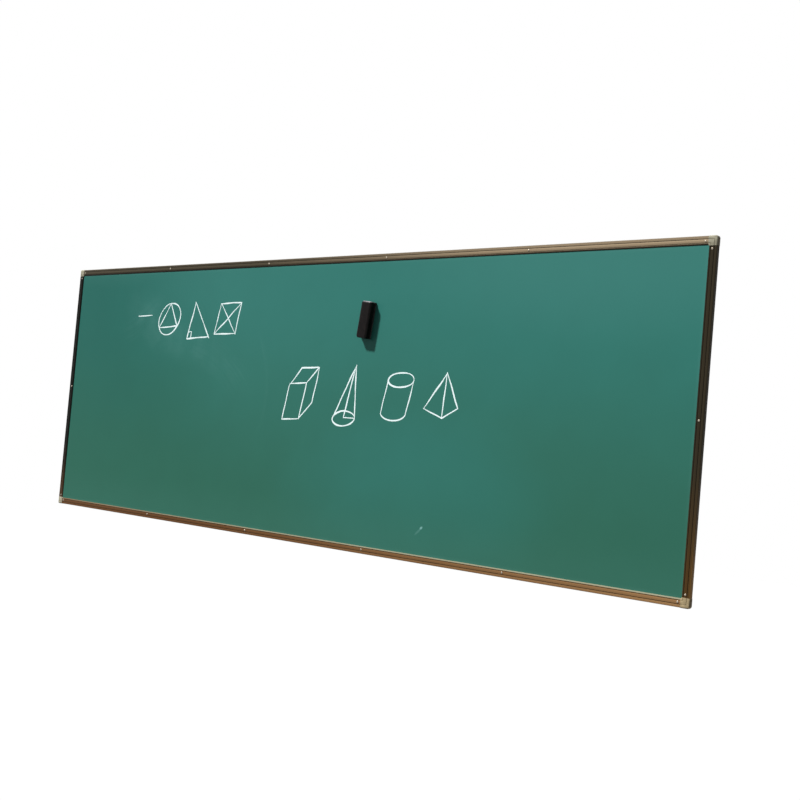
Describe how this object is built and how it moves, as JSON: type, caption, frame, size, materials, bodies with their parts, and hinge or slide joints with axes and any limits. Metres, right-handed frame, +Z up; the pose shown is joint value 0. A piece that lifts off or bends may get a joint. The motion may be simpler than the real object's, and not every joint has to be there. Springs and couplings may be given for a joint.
{
  "type": "magnetic chalkboard",
  "caption": "Long green lacquered steel chalkboard for a wall, in a ribbed bronze aluminium frame with pale plastic corner caps and a magnetic block eraser that slides on its face.",
  "frame": {"origin": "middle of the plane that lies against the wall, half way along the board and half way up it", "axes": "+X along the board, to the right for a reader; +Y out of the back of the board, into the wall; +Z up. The writing face looks towards -Y."},
  "size_m": [3.6, 0.0503, 1.2],
  "materials": {
    "green_lacquer": "matte, fine grained chalkboard lacquer on steel sheet",
    "core_card": "raw brown core board",
    "galvanised_steel": "galvanised steel sheet with a faint spangle",
    "mill_aluminium": "mill finish",
    "bronze_frame": "satin bronze anodised, drawn lengthways",
    "screw_steel": "bright zinc plated",
    "spacer_steel": "galvanised pressed steel",
    "cap_plastic": "moulded cream grey plastic, satin",
    "eraser_plastic": "black moulded plastic, half gloss",
    "eraser_foam": "dense black foam",
    "eraser_magnet": "dark ferrite",
    "eraser_felt": "thick black wool felt"
  },
  "bodies": {
    "board": {"writing_sheet": "green_lacquer", "core_board_1": "core_card", "core_board_2": "core_card", "core_board_3": "core_card", "core_board_4": "core_card", "back_sheet": "galvanised_steel", "rear_bar_1": "mill_aluminium", "rear_bar_2": "mill_aluminium", "rear_bar_3": "mill_aluminium", "bar_rivet_1_bottom": "mill_aluminium", "bar_rivet_1_top": "mill_aluminium", "bar_rivet_2_bottom": "mill_aluminium", "bar_rivet_2_top": "mill_aluminium", "bar_rivet_3_bottom": "mill_aluminium", "bar_rivet_3_top": "mill_aluminium", "rail_bottom": "bronze_frame", "rail_top": "bronze_frame", "rail_left": "bronze_frame", "rail_right": "bronze_frame", "corner_screw_bottom_1": "screw_steel", "corner_screw_bottom_2": "screw_steel", "corner_screw_top_1": "screw_steel", "corner_screw_top_2": "screw_steel", "corner_screw_left_1": "screw_steel", "corner_screw_left_2": "screw_steel", "corner_screw_right_1": "screw_steel", "corner_screw_right_2": "screw_steel", "rail_screw_bottom_1": "screw_steel", "rail_screw_bottom_2": "screw_steel", "rail_screw_bottom_3": "screw_steel", "rail_screw_bottom_4": "screw_steel", "rail_screw_top_1": "screw_steel", "rail_screw_top_2": "screw_steel", "rail_screw_top_3": "screw_steel", "rail_screw_top_4": "screw_steel", "rail_screw_left_1": "screw_steel", "rail_screw_right_1": "screw_steel", "wall_spacer_bottom_1": "spacer_steel", "wall_spacer_bottom_2": "spacer_steel", "wall_spacer_bottom_3": "spacer_steel", "wall_spacer_bottom_4": "spacer_steel", "wall_spacer_top_1": "spacer_steel", "wall_spacer_top_2": "spacer_steel", "wall_spacer_top_3": "spacer_steel", "wall_spacer_top_4": "spacer_steel", "wall_spacer_left_1": "spacer_steel", "wall_spacer_right_1": "spacer_steel", "corner_cap_bottom_left": "cap_plastic", "corner_cap_bottom_right": "cap_plastic", "corner_cap_top_left": "cap_plastic", "corner_cap_top_right": "cap_plastic"},
    "eraser": {"eraser_shell": "eraser_plastic", "eraser_foam_plate": "eraser_foam", "eraser_magnet_upper": "eraser_magnet", "eraser_magnet_lower": "eraser_magnet", "eraser_felt": "eraser_felt"}
  },
  "joints": [
    {"name": "eraser_slide", "type": "slide", "parent": "board", "child": "eraser", "axis": [1, 0, 0], "range_m": [-2.009, 1.448]}
  ]
}
